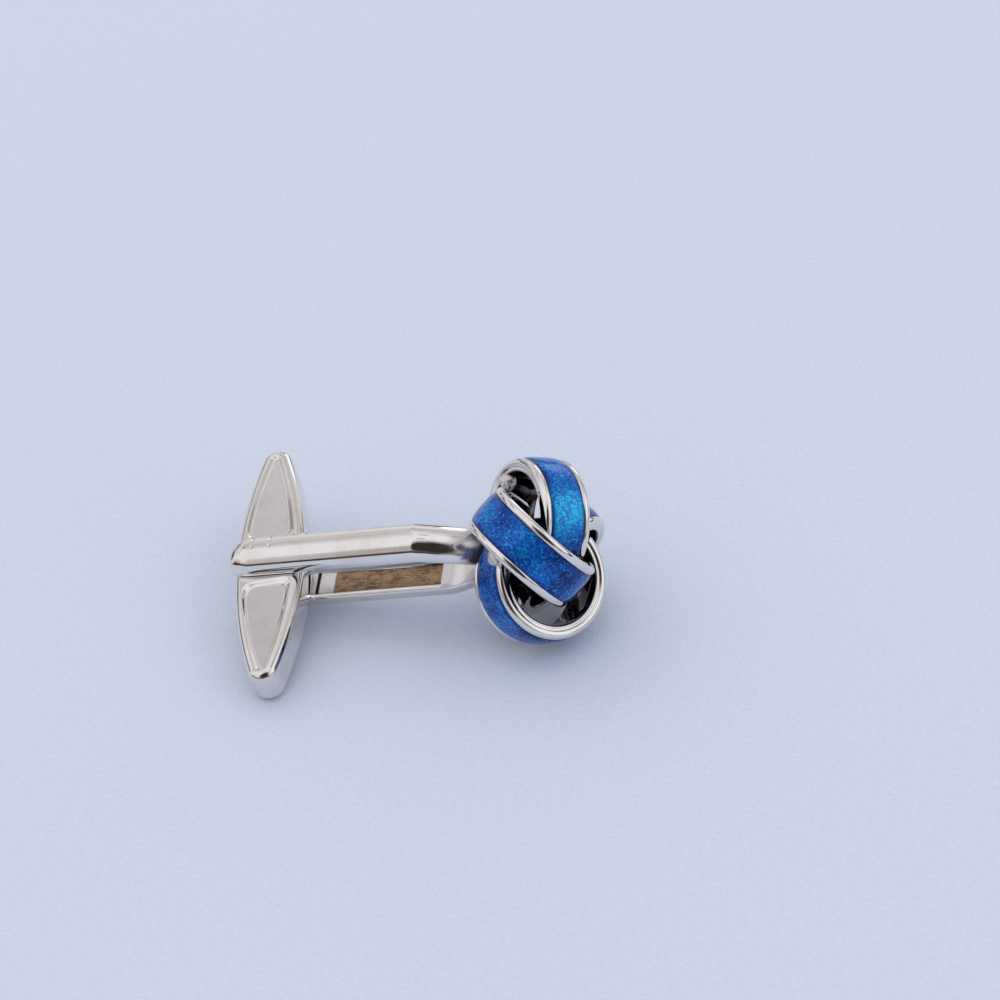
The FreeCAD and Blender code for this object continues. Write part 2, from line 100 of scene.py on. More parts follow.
class KnotSizes(bpy.types.PropertyGroup):
    """Sizes of the four bands, their enamel and their solder."""

    distance: length("Distance", "Pivot pin to the middle of the knot", 18.5)
    turn: angle("Turn", "First band's turn about the stem", 34.5)
    tilt: angle("Tilt", "Angle between a band's own axis and the stem", 43.8)
    offset: length("Offset", "Stem axis to the middle of a band's loop", 1.85)
    radius: length("Radius", "Loop's outer radius", 4.05)
    level: length("End level", "Loop's ends below the stem axis", 0.8)
    width: length("Band width", "Width over both edge beads", 3.35)
    wall: length("Band wall", "Thickness under the beads", 0.9)
    core: length("Core", "Radius of the core that the bands end on", 2.07)
    core_front: length("Core front", "Core's front face from the middle of the knot", 2.82)
    bead: length("Bead", "Width of the plain bead along each edge", 0.66)
    round: length("Round", "Rounding of the band's inner corners", 0.2)
    channel: length("Channel", "Depth of the enamel's channel", 0.32)
    sink: length("Sink", "Enamel's edge below the beads", 0.06)
    dome: length("Dome", "Enamel's rise at its middle", 0.16)
    solder: length("Solder", "Radius of a bead of solder", 0.66)
    solder_lower: angle("Solder under", "Bead's place round the band that passes under", -105.0)
    solder_upper: angle("Solder over", "Bead's place round the band that passes over", -15.0)
    laps: count("Laps", "Stations round a loop", 220)


class StemSizes(bpy.types.PropertyGroup):
    """Sizes of the forked stem and its leaf spring."""

    width: length("Arm width", "Width of an arm", 2.85)
    height: length("Arm height", "Height of an arm at its crown", 1.5)
    side: length("Arm side", "Upright part of an arm's side", 0.3)
    gap: length("Slot", "Space between the arms", 2.7)
    overhang: length("Overhang", "Arm's end beyond the pin", 1.55)
    neck_end: length("Neck end", "Pivot pin to the core's back face", 15.6)
    upper_neck: length("Upper neck", "Upper arm's run from its bend to the core", 4.8)
    lower_neck: length("Lower neck", "Lower arm's run from its bend to the core", 3.2)
    neck_gap: length("Neck gap", "Space between the arms at the knot", 0.5)
    neck_narrowing: length("Neck narrowing", "Loss of width at the knot on each side", 0.1)
    neck_thinning: length("Neck thinning", "Loss of height at the knot", 0.1)
    corner: length("Corner", "Rounding of an arm's inner corners", 0.1)
    nose: length("Nose", "Rounded run at an arm's free end", 1.1)
    nose_far: length("Nose far", "Loss of width at the free end on the far side", 1.0)
    nose_near: length("Nose near", "Loss of width at the free end on the near side", 0.2)
    crimp: length("Crimp", "Distance of a crimp line from the middle of the pair", 0.6)
    crimp_middle: length("Crimp middle", "Middle of the pair of crimp lines from the pin", 0.55)
    crimp_depth: length("Crimp depth", "Depth of a crimp line", 0.05)
    recess_start: length("Recess start", "Spring's recess from the pin", 2.0)
    recess_land: length("Recess land", "Plain metal between the recess and the bend", 0.7)
    recess_width: length("Recess width", "Width of the spring's recess", 2.0)
    recess_depth: length("Recess depth", "Depth of the spring's recess", 0.45)
    spring: length("Spring", "Thickness of the leaf spring", 0.18)
    spring_foot: length("Spring foot", "Flat foot of the leaf spring", 1.6)
    spring_play: length("Spring play", "Leaf spring's clearance", 0.06)


class ToggleSizes(bpy.types.PropertyGroup):
    """Sizes of the toggle bar."""

    length: length("Length", "Over the tips", 20.0)
    width: length("Width", "At the middle", 4.7)
    thickness: length("Thickness", "Between the faces", 2.6)
    tip: length("Tip radius", "Round tip", 1.0)
    offset: length("Offset", "Middle line from the pivot pin", 0.6)
    round: length("Round", "Rounding of the outer edges", 0.6)
    rim: length("Rim", "Rim around each dished panel", 0.5)
    dish: length("Dish", "Depth of a dished panel", 0.2)
    slope: length("Slope", "Run of a dished panel's side away from the knot", 0.26)
    soft_slope: length("Soft slope", "Run of a dished panel's side towards the knot", 0.65)
    hub: length("Hub", "Dished panel's start from the middle", 1.75)
    hub_slope: length("Hub slope", "Run of a dished panel's side next to the hub", 0.4)
    corner: length("Corner", "Softness of a panel's corners", 0.9)
    swivel: angle("Swivel", "Bar's turn from square across the stem", 6.2)


class Finishes(bpy.types.PropertyGroup):
    """Colours of the finishes."""

    plating: colour("Plating", "Polished plating", (0.82, 0.80, 0.80))
    tarnish: colour("Tarnish", "Warm tint in the plating", (0.70, 0.64, 0.57))
    navy: colour("Navy", "Deepest enamel, beside the beads", (0.002, 0.010, 0.075))
    royal: colour("Royal", "Main enamel", (0.006, 0.060, 0.33))
    azure: colour("Azure", "Lit enamel", (0.010, 0.17, 0.60))
    # Cyan is also the colour of the painted glints on the enamel's flakes
    cyan: colour("Cyan", "Brightest flakes of the enamel", (0.03, 0.50, 0.82))
    spring: colour("Spring", "Leaf spring", (0.44, 0.29, 0.17))
    # Colour of the painted shade inside the knot, also of the dark specks in the solder and a dark band on
    # the leaf spring
    grime: colour("Grime", "Dirt inside the knot", (0.020, 0.014, 0.011))
    solder: colour("Solder", "Beads of solder", (0.80, 0.78, 0.76))
    floor: colour("Floor", "Table top", (0.655, 0.70, 0.82))


class StageSettings(bpy.types.PropertyGroup):
    """Camera and light."""

    eye: FloatVectorProperty(name="Eye", description="Camera's place", size=3, unit="LENGTH",
                             default=(0.038113, -0.148989, 0.120572))
    elevation: angle("Elevation", "Camera's height angle", 36.089)
    azimuth: angle("Azimuth", "Camera's turn about the vertical", 12.210)
    roll: angle("Roll", "Camera's turn about its own axis", -5.575)
    lens: FloatProperty(name="Lens", description="Focal length on a 36 mm frame", default=107.28,
                        unit="CAMERA")
    key: FloatProperty(name="Key", description="Main lamp", default=0.20, min=0.0, unit="POWER")
    fill: FloatProperty(name="Fill", description="Second lamp", default=0.12, min=0.0, unit="POWER")
    sky: FloatProperty(name="Sky", description="Strength of the even light from all round", default=0.96,
                       min=0.0)


# Meshes from arrays of points


def to_row(points):
    """Carry points of the stem's own frame into the row frame."""
    return PIVOT + points @ STEM_AXES


def turn_about_stem(points, turn):
    """Turn points about the stem's x axis."""
    cos, sin = np.cos(turn), np.sin(turn)
    x, y, z = np.moveaxis(points, -1, 0)
    return np.stack([x, y * cos - z * sin, y * sin + z * cos], axis=-1)


def turn_about_pin(points, turn):
    """Turn points about the pin's z axis."""
    cos, sin = np.cos(turn), np.sin(turn)
    x, y, z = np.moveaxis(points, -1, 0)
    return np.stack([x * cos - y * sin, x * sin + y * cos, z], axis=-1)


def grid_quads(rows, columns):
    """Corner numbers of the quads of a grid stored row by row, its last column joined to its first."""
    i, j = np.meshgrid(np.arange(rows - 1), np.arange(columns), indexing="ij")
    right = (j + 1) % columns
    return np.stack([i * columns + j, i * columns + right, (i + 1) * columns + right, (i + 1) * columns + j],
                    axis=-1).reshape(-1, 4)


def add_piece(name, parts, material, body, node, attributes=None):
    """Make one smooth mesh object from swept tubes, in place of a node of the frame.

    parts is a list of arrays of rows by columns by 3. Each row is a closed section, the rows follow one
    another along the piece, and a flat face closes the first and the last. attributes holds values of points.
    """
    vertices, loops, totals = [], [], []
    base = 0
    for grid in parts:
        rows, columns = grid.shape[:2]
        quads = grid_quads(rows, columns) + base
        first = np.arange(columns)[::-1] + base
        last = np.arange(columns) + (rows - 1) * columns + base
        vertices.append(grid.reshape(-1, 3))
        loops += [quads.ravel(), first, last]
        totals += [np.full(len(quads), 4), [columns], [columns]]
        base += rows * columns
    vertices = to_row(np.concatenate(vertices))
    loops = np.concatenate(loops)
    totals = np.concatenate(totals)
    mesh = bpy.data.meshes.new(name)
    mesh.vertices.add(len(vertices))
    mesh.vertices.foreach_set("co", vertices.ravel())
    mesh.loops.add(len(loops))
    mesh.loops.foreach_set("vertex_index", loops)
    mesh.polygons.add(len(totals))
    mesh.polygons.foreach_set("loop_start", np.cumsum(totals) - totals)
    mesh.polygons.foreach_set("loop_total", totals)
    mesh.polygons.foreach_set("use_smooth", totals == 4)
    mesh.update(calc_edges=True)
    mesh.validate()
    for key, values in (attributes or {}).items():
        layer = mesh.attributes.new(key, "FLOAT", "POINT")
        layer.data.foreach_set("value", np.ascontiguousarray(values, np.float32).ravel())
    mesh.materials.append(material)
    piece = bpy.data.objects.new(name, mesh)
    bpy.context.scene.collection.objects.link(piece)
    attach(piece, body)
    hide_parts(node)


def arc(centre, radii, start, end, steps):
    """Points of an elliptic arc between two angles, as pairs."""
    t = np.linspace(start, end, steps)
    return np.stack([centre[0] + radii[0] * np.cos(t), centre[1] + radii[1] * np.sin(t)], axis=-1)


def smooth_step(t):
    """Rise from 0 to 1 with level ends: 3 t squared minus 2 t cubed."""
    t = np.clip(t, 0.0, 1.0)
    return t * t * (3.0 - 2.0 * t)


# Shader maths


class Wire:
    """A node's output that takes part in arithmetic; each operation adds a Math node."""

    def __init__(self, graph, socket):
        self.graph = graph
        self.socket = socket

    def math(self, operation, *inputs):
        """Add a Math node."""
        return self.graph.node("ShaderNodeMath", {"operation": operation}, *inputs)

    def __add__(self, other):
        return self.math("ADD", self, other)

    __radd__ = __add__

    def __rsub__(self, other):
        return self.math("SUBTRACT", other, self)

    def __mul__(self, other):
        return self.math("MULTIPLY", self, other)

    __rmul__ = __mul__

    def over(self, low, high):
        """Rise smoothly from 0 at low to 1 at high."""
        return self.graph.node("ShaderNodeMapRange", {"interpolation_type": "SMOOTHSTEP"}, self,
                               From_Min=low, From_Max=high)


class Graph:
    """A node tree under construction."""

    def __init__(self, owner):
        owner.use_nodes = True
        self.tree = owner.node_tree
        self.tree.nodes.clear()

    def feed(self, socket, value):
        """Link a socket to a wire, or set its value."""
        if isinstance(value, Wire):
            self.tree.links.new(value.socket, socket)
        elif socket.type == "RGBA" and len(value) == 3:
            socket.default_value = (*value, 1.0)
        else:
            socket.default_value = value

    def node(self, kind, settings, *inputs, out=0, **named):
        """Add a node: settings come first, then sockets by place, identifier, or name with _ for a space."""
        node = self.tree.nodes.new(kind)
        for key, value in settings.items():
            if key == "stops":
                self.set_stops(node.color_ramp, value)
            else:
                setattr(node, key, value)
        sockets = {socket.identifier: socket for socket in node.inputs}
        for socket, value in zip(node.inputs, inputs):
            self.feed(socket, value)
        for key, value in named.items():
            self.feed(sockets.get(key) or node.inputs[key.replace("_", " ")], value)
        if isinstance(out, str):
            out = [socket.identifier for socket in node.outputs].index(out)
        return None if out is None else Wire(self, node.outputs[out])

    @staticmethod
    def set_stops(ramp, stops):
        """Give a colour ramp its stops, each a place and a colour."""
        for place, _ in stops[len(ramp.elements):]:
            ramp.elements.new(place)
        for element, (place, shade) in zip(ramp.elements, stops):
            element.position = place
            element.color = (*shade, 1.0)

    def mix(self, factor, first, second):
        """Blend two colours."""
        return self.node("ShaderNodeMix", {"data_type": "RGBA"}, out="Result_Color", Factor_Float=factor,
                         A_Color=first, B_Color=second)


class Finish(Graph):
    """A material under construction: a node tree with one surface shader."""

    def __init__(self, name):
        self.material = bpy.data.materials.new(name)
        super().__init__(self.material)
        output = self.tree.nodes.new("ShaderNodeOutputMaterial")
        self.shader = self.tree.nodes.new("ShaderNodeBsdfPrincipled")
        self.tree.links.new(self.shader.outputs[0], output.inputs["Surface"])

    def place(self, stretch=(1.0, 1.0, 1.0)):
        """Object coordinates in millimetres, stretched along the axes."""
        coords = self.node("ShaderNodeTexCoord", {}, out="Object")
        scale = tuple(s / MM for s in stretch)
        return self.node("ShaderNodeMapping", {}, coords, Scale=scale)

    def noise(self, vector, scale, detail=2.0, roughness=0.5):
        """A cloudy value around a half."""
        return self.node("ShaderNodeTexNoise", {}, Vector=vector, Scale=scale, Detail=detail,
                         Roughness=roughness)

    def bump(self, height, strength, distance):
        """A normal that follows a height."""
        return self.node("ShaderNodeBump", {}, Strength=strength, Distance=distance, Height=height)

    def surface(self, **sockets):
        """Feed the shader's sockets, named with _ for a space, and hand over the material."""
        for key, value in sockets.items():
            self.feed(self.shader.inputs[key.replace("_", " ")], value)
        return self.material


def plating_finish(looks):
    """Mirror plating with faint cloudiness, warm tint and fine handling marks.

    The attribute inside darkens a band's inner face with painted shade, and the attribute neck roughens the
    arms near the knot.
    """
    finish = Finish("polished_plating")
    place = finish.place()
    cloud = finish.noise(place, scale=0.45, detail=3.0)
    hairs = finish.noise(finish.place((0.35, 5.0, 5.0)), scale=2.2, detail=4.0, roughness=0.65)
    inside = finish.node("ShaderNodeAttribute", {"attribute_name": "inside"}, out="Fac")
    # Painted shade on a band's inner face, standing for the dark inside of the knot
    shade_pattern = inside.over(0.80, 0.97) * (0.72 + 0.28 * cloud.over(0.62, 0.50))
    colour = finish.mix(cloud.over(0.45, 0.8) * 0.55, looks.plating, looks.tarnish)
    colour = finish.mix(shade_pattern, colour, looks.grime)
    neck = finish.node("ShaderNodeAttribute", {"attribute_name": "neck"}, out="Fac").over(0.15, 0.85)
    cast = neck * neck
    rough = 0.045 + 0.05 * cloud.over(0.35, 0.75) + 0.06 * hairs.over(0.62, 0.78) + 0.27 * cast
    ripple = finish.noise(place, scale=1.6) + 4.0 * cast * finish.noise(place, scale=1.1, detail=3.0)
    return finish.surface(Base_Color=colour, Metallic=1.0, Roughness=rough,
                          Normal=finish.bump(ripple, strength=0.06, distance=0.06 * MM))


def enamel_finish(looks):
    """Clear blue enamel over a flaked ground: flakes tilt and tint the light, cyan specks are painted glints,
    and the margins go navy.

    The attribute across is 1 at the margins. Another attribute paints a lit, paler patch on each band and
    brings out a net of lines in it.
    """
    finish = Finish("blue_enamel")
    place = finish.place()
    across = finish.node("ShaderNodeAttribute", {"attribute_name": "across"}, out="Fac")
    cells = finish.node("ShaderNodeTexVoronoi", {"feature": "F1"}, Vector=place, Scale=8.0, Randomness=1.0,
                        out="Color")
    cell = finish.node("ShaderNodeSeparateColor", {}, cells)
    fine = finish.noise(place, scale=6.0, detail=4.0, roughness=0.75)
    drift = finish.noise(place, scale=0.42, detail=1.0)
    thin = finish.node("ShaderNodeAttribute", {"attribute_name": "thin"}, out="Fac")
    # Painted light: the attribute read here lifts the tone where a band is painted as lit
    tone = 0.40 * drift + 0.45 * fine + 0.12 * cell + 0.16 * thin
    lit = finish.node("ShaderNodeValToRGB", {"stops": ((0.36, looks.navy), (0.47, looks.royal),
                                                       (0.58, looks.azure), (0.70, looks.cyan))}, tone)
    net = finish.node("ShaderNodeTexVoronoi", {"feature": "DISTANCE_TO_EDGE"}, Vector=place, Scale=2.3,
                      Randomness=1.0)
    shade = finish.mix((1.0 - net.over(0.02, 0.13)) * thin * 0.6, lit, looks.royal)
    # Painted glints: cyan specks in the colour where flakes would catch the light
    painted_glint = cell.over(0.78, 0.92) * fine.over(0.46, 0.60)
    shade = finish.mix(painted_glint * 0.55, shade, looks.cyan)
    margin = across.over(0.72, 0.98)
    shade = finish.mix(margin * 0.85, shade, looks.navy)
    flake = cell * 0.6 + fine * 0.4
    return finish.surface(Base_Color=shade, Metallic=0.45, Roughness=0.36, Specular_IOR_Level=0.0,
                          Coat_Weight=1.0, Coat_Roughness=0.03, Coat_IOR=1.26,
                          Normal=finish.bump(flake, strength=0.25, distance=0.08 * MM))


def spring_finish(looks):
    """Brown-gold leaf with drawing lines along it, bright scratches, dull patches and a tip worn pale.

    The attribute along runs from the tip, 0, to the heel, 1, and places the worn tip and a dark band across
    it.
    """
    finish = Finish("spring_brass")
    along = finish.node("ShaderNodeAttribute", {"attribute_name": "along"}, out="Fac")
    lines = finish.noise(finish.place((0.25, 3.0, 3.0)), scale=4.0, detail=5.0, roughness=0.7)
    patch = finish.noise(finish.place((1.0, 2.0, 2.0)), scale=1.6, detail=5.0, roughness=0.75)
    dull = tuple(0.35 * c for c in looks.spring)
    colour = finish.mix(patch.over(0.42, 0.66), looks.spring, dull)
    colour = finish.mix(lines.over(0.56, 0.70) * 0.75, colour, looks.tarnish)
    worn = 1.0 - along.over(0.235, 0.245)
    colour = finish.mix(worn, colour, looks.plating)
    # A dark band across the leaf near its tip
    dark_band = along.over(0.105, 0.115) * (1.0 - along.over(0.130, 0.140))
    colour = finish.mix(dark_band, colour, looks.grime)
    rough = 0.22 + 0.3 * lines * (1.0 - worn)
    return finish.surface(Base_Color=colour, Metallic=1.0, Roughness=rough,
                          Normal=finish.bump(lines, strength=0.35, distance=0.05 * MM))


def solder_finish(looks):
    """Bright solder with pits and dark specks."""
    finish = Finish("solder")
    place = finish.place()
    pits = finish.noise(place, scale=4.5, detail=5.0, roughness=0.75)
    colour = finish.mix(pits.over(0.56, 0.70), looks.solder, looks.grime)
    return finish.surface(Base_Color=colour, Metallic=1.0, Roughness=0.10 + 0.25 * pits.over(0.4, 0.8),
                          Normal=finish.bump(pits, strength=0.5, distance=0.2 * MM))


def core_finish(looks):
    """Plating inside the knot, painted nearly black as shade, apart from a few patches of clean plating."""
    finish = Finish("core_plating")
    shade_pattern = finish.noise(finish.place(), scale=2.2, detail=5.0, roughness=0.7)
    # Painted shade: the core is mostly the shade colour, with a few patches of clean plating
    clean = shade_pattern.over(0.60, 0.70)
    colour = finish.mix(clean, looks.grime, looks.plating)
    return finish.surface(Base_Color=colour, Metallic=1.0, Roughness=0.25 + 0.3 * shade_pattern)


def floor_finish(looks):
    """Matt pale table top with a faint paper grain and a few specks."""
    finish = Finish("table_top")
    place = finish.place()
    grain = finish.noise(place, scale=3.2, detail=5.0, roughness=0.75).over(0.3, 0.7)
    drift = finish.noise(place, scale=0.018)
    speck = finish.node("ShaderNodeTexVoronoi", {"feature": "F1"}, Vector=place, Scale=0.07, Randomness=1.0)
    dark = tuple(0.86 * c for c in looks.floor)
    colour = finish.mix(0.45 * grain + 0.25 * drift, looks.floor, dark)
    darkest = tuple(0.3 * c for c in looks.floor)
    colour = finish.mix((1.0 - speck.over(0.010, 0.022)) * 0.35, colour, darkest)
    return finish.surface(Base_Color=colour, Roughness=0.75, Specular_IOR_Level=0.25,
                          Normal=finish.bump(grain, strength=0.25, distance=0.3 * MM))


_finishes = {}


def finish_named(name):
    """Make each finish once."""
    makers = {"plating": plating_finish, "enamel": enamel_finish, "spring": spring_finish,
              "solder": solder_finish, "core": core_finish, "floor": floor_finish}
    if name not in _finishes:
        _finishes[name] = makers[name](bpy.context.scene.cufflink_finishes)
    return _finishes[name]


# The knot

# Places tried along a loop to find where it meets the core
LAP_TRIALS = 600
# Where a bead's arc ends under its widest point, and how far the band's side lies inside it, in bead radii
BEAD_ARC_END = math.radians(52.0)
GROOVE_SHARE = 0.15
# Bare edge of a band beside the enamel, in bead widths
BARE_SHARE = 0.7
# Rows and columns of a lump of solder, and the angle left at its poles, which a flat face closes
LUMP_ROWS = 24
LUMP_COLUMNS = 40
POLE_ANGLE = 0.02


def loop_points(knot, lap, across, depth):
    """Points of the first band's loop in the knot's own frame.

    The loop is a circle, lap is the angle from its top, across runs along the band's own axis and depth is
    measured in from the outer face. The circle lies square to the band's axis, which is tilted from the stem.
    """
    up = knot.offset + (knot.radius - depth) * np.cos(lap)
    along = -(knot.radius - depth) * np.sin(lap)
    cos, sin = math.cos(knot.tilt), math.sin(knot.tilt)
    x, y, z = np.broadcast_arrays(across * cos - along * sin, across * sin + along * cos, up)
    return np.stack([x, y, z], axis=-1)


def lap_ends(knot, across, depth):
    """Both ends of each line of a band's sweep: where it meets the core, or else the loop's end level."""
    end = math.acos(-(knot.level + knot.offset) / knot.radius)
    lap = np.linspace(0.0, end, LAP_TRIALS)[:, None]
    ends = []
    for side in (-1.0, 1.0):
        points = loop_points(knot, side * lap, across, depth)
        x, y, z = np.moveaxis(points, -1, 0)
        buried = (np.hypot(y, z) < knot.core) & (x < knot.core_front)
        first = np.where(buried.any(axis=0), buried.argmax(axis=0), len(lap) - 1)
        ends.append(side * lap[first, 0])
    return ends


def sweep_loop(knot, profile, index):
    """Carry a section of (across, depth) pairs round a loop, from the core to the core again."""
    across, depth = profile.T
    start, end = lap_ends(knot, across, depth)
    lap = start + (end - start) * np.linspace(0.0, 1.0, knot.laps)[:, None]
    points = turn_about_stem(loop_points(knot, lap, across, depth), knot.turn - QUARTER_TURN * index)
    return points + np.array([knot.distance, 0.0, 0.0])


def band_profile(knot):
    """Section of a band: a round bead at each edge, the enamel's channel between and soft inner corners.

    The bead is an arc that turns back under its widest point, so a fine groove parts it from the band's side.
    """
    half = knot.width / 2
    bead = knot.bead / 2
    centre = half - bead
    shoulder = arc((centre, knot.channel), (bead, knot.channel), math.pi, math.pi * 1.5, 9)
    edge = arc((centre, bead), (bead, bead), -QUARTER_TURN, BEAD_ARC_END, 14)[1:]
    side = half - GROOVE_SHARE * bead
    inner = arc((side - knot.round, knot.wall - knot.round), (knot.round, knot.round), 0.0, QUARTER_TURN, 9)
    right = np.concatenate([shoulder, edge, inner, [[0.5 * half, knot.wall]]])
    left = right[::-1] * np.array([-1.0, 1.0])
    return np.concatenate([right, [[0.0, knot.wall]], left])[::-1]


def enamel_profile(knot):
    """Section of the enamel: a low dome that meets the beads' flanks."""
    half = knot.width / 2 - BARE_SHARE * knot.bead
    across = half * np.sin(np.linspace(-QUARTER_TURN, QUARTER_TURN, 31))
    top = knot.sink - knot.dome * (1.0 - (across / half) ** 4)
    surface = np.stack([across, top], axis=-1)
    under = np.array([[half, knot.channel], [-half, knot.channel]])
    return np.concatenate([surface, under])[::-1]


class BuildBands(bpy.types.Operator):
    """Build the four plated bands of the knot"""

    bl_idname = "cufflink.bands"
    bl_label = "Knot bands"

    def execute(self, context):
        knot = context.scene.cufflink_knot
        profile = band_profile(knot)
        inside = np.tile(profile[:, 1] / knot.wall, (knot.laps, 1))
        for index in range(BAND_COUNT):
            node = f"knot_band_{index + 1}"
            add_piece(f"band_{index + 1}", [sweep_loop(knot, profile, index)], finish_named("plating"),
                      "stem", node, {"inside": inside})
        return {"FINISHED"}


# Where each band's enamel is painted paler, as if lit, with a net of lines: place from one end of the loop,
# -1, to the other, 1, then reach and amount
ENAMEL_GLOW_AND_NET = ((-0.22, 0.20, 0.20), (0.62, 0.22, 1.0), (0.10, 0.30, 0.30), (-0.45, 0.30, 0.10))


class BuildEnamel(bpy.types.Operator):
    """Build the enamel in the four bands"""

    bl_idname = "cufflink.enamel"
    bl_label = "Enamel"

    def execute(self, context):
        knot = context.scene.cufflink_knot
        profile = enamel_profile(knot)
        half = np.abs(profile[:, 0]).max()
        spread = np.tile(np.abs(profile[:, 0]) / half, (knot.laps, 1))
        round_loop = np.linspace(-1.0, 1.0, knot.laps)[:, None]
        for index, (middle, reach, amount) in enumerate(ENAMEL_GLOW_AND_NET):
            node = f"enamel_inlay_{index + 1}"
            thin = amount * np.exp(-((round_loop - middle) / reach) ** 2) * np.ones_like(spread)
            add_piece(f"enamel_{index + 1}", [sweep_loop(knot, profile, index)], finish_named("enamel"),
                      "stem", node, {"across": spread, "thin": thin})
        return {"FINISHED"}


def lump(centre, radius, seed):
    """A lumpy ball: a sphere whose radius swells and dips with a few waves of its two angles."""
    polar = np.linspace(POLE_ANGLE, math.pi - POLE_ANGLE, LUMP_ROWS)[:, None]
    turn = np.linspace(0.0, 2 * math.pi, LUMP_COLUMNS, endpoint=False)[None, :]
    swell = 0.10 * np.sin(3 * turn + seed) * np.sin(polar) ** 2 + 0.09 * np.cos(2 * polar + 1.7 * seed)
    swell += 0.06 * np.sin(5 * turn - 2 * seed) * np.sin(2 * polar)
    reach = radius * (0.92 + swell)
    ball = np.stack([reach * np.sin(polar) * np.cos(turn), reach * np.sin(polar) * np.sin(turn),
                     reach * np.cos(polar) * np.ones_like(turn)], axis=-1)
    return centre + ball[::-1]


class BuildSolder(bpy.types.Operator):
    """Build the beads of solder where the bands cross"""

    bl_idname = "cufflink.solder"
    bl_label = "Solder"

    def execute(self, context):
        knot = context.scene.cufflink_knot
        edge = knot.width / 2
        lower = loop_points(knot, knot.solder_lower, edge, 0.0)
        upper = loop_points(knot, knot.solder_upper, -edge, knot.wall)
        middle = (lower + turn_about_stem(upper, -QUARTER_TURN)) / 2
        lumps = []
        for index in range(BAND_COUNT):
            ball = lump(middle, knot.solder, index)
            ball = turn_about_stem(ball, knot.turn - QUARTER_TURN * index)
            lumps.append(ball + np.array([knot.distance, 0.0, 0.0]))
        add_piece("solder_lumps", lumps, finish_named("solder"), "stem", "solder_beads")
        return {"FINISHED"}


# The stem

# Steps along an arm: over a wall of the recess, each side of a crimp line and each side of the bend
WALL_STEP = 0.02 * MM
CRIMP_REACH = 0.18 * MM
BEND_REACH = 0.6 * MM
# Lean of the recess's long walls, width of a crimp line's curve and softness of the bend
WALL_LEAN = 0.03 * MM
CRIMP_SPREAD = 0.07 * MM
BEND_SOFTNESS = 0.5 * MM
# Crowding of the steps towards the free end, and the shape of its drop and its slant
NOSE_CROWDING = 1.6
NOSE_DROP = 0.30
DROP_POWER = 2.0
SLANT_POWER = 1.6
# Points over an arm's crown and round its inner corners, and places along the leaf spring
CROWN_POINTS = 61
CORNER_POINTS = 7
SPRING_PLACES = 200


def arm_section(width, height, inner, stem, recess):
    """Section of an arm at each station, flat inside with soft corners, upright sides and a round crown.

    width, height, inner and recess are arrays over the stations. The result is stations by points by (y, z).
    """
    half, inner, recess = width[:, None] / 2, inner[:, None], recess[:, None]
    rise = height[:, None] - stem.side
    radius = (half ** 2 + rise ** 2) / (2 * rise)
    sweep = np.arcsin(np.clip(half / radius, -1.0, 1.0))
    t = np.linspace(1.0, -1.0, CROWN_POINTS)[None, :]
    crown_y = radius * np.sin(sweep * t)
    crown_z = inner + height[:, None] - radius + radius * np.cos(sweep * t)
    turn = np.linspace(0.0, QUARTER_TURN, CORNER_POINTS)
    corner = stem.corner * np.stack([1 - np.cos(turn), 1 - np.sin(turn)])
    left_y, left_z = -half + corner[0], inner + corner[1]
    wall = stem.recess_width / 2
    lip = wall + WALL_LEAN
    floor_y = np.array([-lip, -wall, -0.5 * wall, 0.5 * wall, wall, lip])[None, :]
    floor_z = inner + recess * np.array([0.0, 1.0, 1.0, 1.0, 1.0, 0.0])
    right_y, right_z = half - corner[0, ::-1], inner + corner[1, ::-1]
    floor_y = np.broadcast_to(floor_y, floor_z.shape)
    y = np.concatenate([left_y, floor_y, right_y, crown_y], axis=1)
    z = np.concatenate([left_z, floor_z, right_z, crown_z], axis=1)
    return np.stack([y, z], axis=-1)


